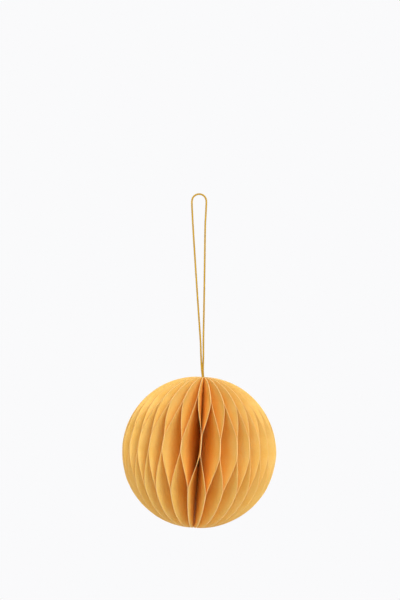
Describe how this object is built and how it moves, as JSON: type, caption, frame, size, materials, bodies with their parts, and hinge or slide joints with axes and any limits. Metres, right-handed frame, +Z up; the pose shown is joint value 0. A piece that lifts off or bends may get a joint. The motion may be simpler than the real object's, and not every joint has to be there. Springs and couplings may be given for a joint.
{
  "type": "honeycomb paper ball ornament",
  "caption": "Round honeycomb ornament: half-round paper leaves glued in stripes and opened all round a hollow core into lens-shaped cells, with a cord loop to hang it by.",
  "frame": {"origin": "the point inside the top of the cord loop that rests on a hook", "axes": "+Z up along the plumb line, -Y towards the front of the ball, where two leaves meet in the middle stripe, +X to the right of the front"},
  "size_m": [0.1006, 0.1006, 0.218],
  "materials": {
    "leaf_paper": "matte dyed paper",
    "cord": "twisted thread"
  },
  "bodies": {
    "root": {"leaf_01": "leaf_paper", "leaf_02": "leaf_paper", "leaf_03": "leaf_paper", "leaf_04": "leaf_paper", "leaf_05": "leaf_paper", "leaf_06": "leaf_paper", "leaf_07": "leaf_paper", "leaf_08": "leaf_paper", "leaf_09": "leaf_paper", "leaf_10": "leaf_paper", "leaf_11": "leaf_paper", "leaf_12": "leaf_paper", "leaf_13": "leaf_paper", "leaf_14": "leaf_paper", "leaf_15": "leaf_paper", "leaf_16": "leaf_paper", "leaf_17": "leaf_paper", "leaf_18": "leaf_paper", "leaf_19": "leaf_paper", "leaf_20": "leaf_paper", "leaf_21": "leaf_paper", "leaf_22": "leaf_paper", "leaf_23": "leaf_paper", "leaf_24": "leaf_paper", "leaf_25": "leaf_paper", "leaf_26": "leaf_paper", "leaf_27": "leaf_paper", "leaf_28": "leaf_paper", "leaf_29": "leaf_paper", "leaf_30": "leaf_paper", "leaf_31": "leaf_paper", "leaf_32": "leaf_paper", "leaf_33": "leaf_paper", "leaf_34": "leaf_paper", "leaf_35": "leaf_paper", "leaf_36": "leaf_paper", "leaf_37": "leaf_paper", "leaf_38": "leaf_paper", "leaf_39": "leaf_paper", "leaf_40": "leaf_paper", "leaf_41": "leaf_paper", "leaf_42": "leaf_paper", "leaf_43": "leaf_paper", "leaf_44": "leaf_paper", "leaf_45": "leaf_paper", "leaf_46": "leaf_paper", "leaf_47": "leaf_paper", "leaf_48": "leaf_paper", "leaf_49": "leaf_paper", "leaf_50": "leaf_paper", "leaf_51": "leaf_paper", "leaf_52": "leaf_paper", "leaf_53": "leaf_paper", "leaf_54": "leaf_paper", "leaf_55": "leaf_paper", "leaf_56": "leaf_paper", "hanging_cord": "cord", "cord_knot": "cord"}
  },
  "joints": []
}
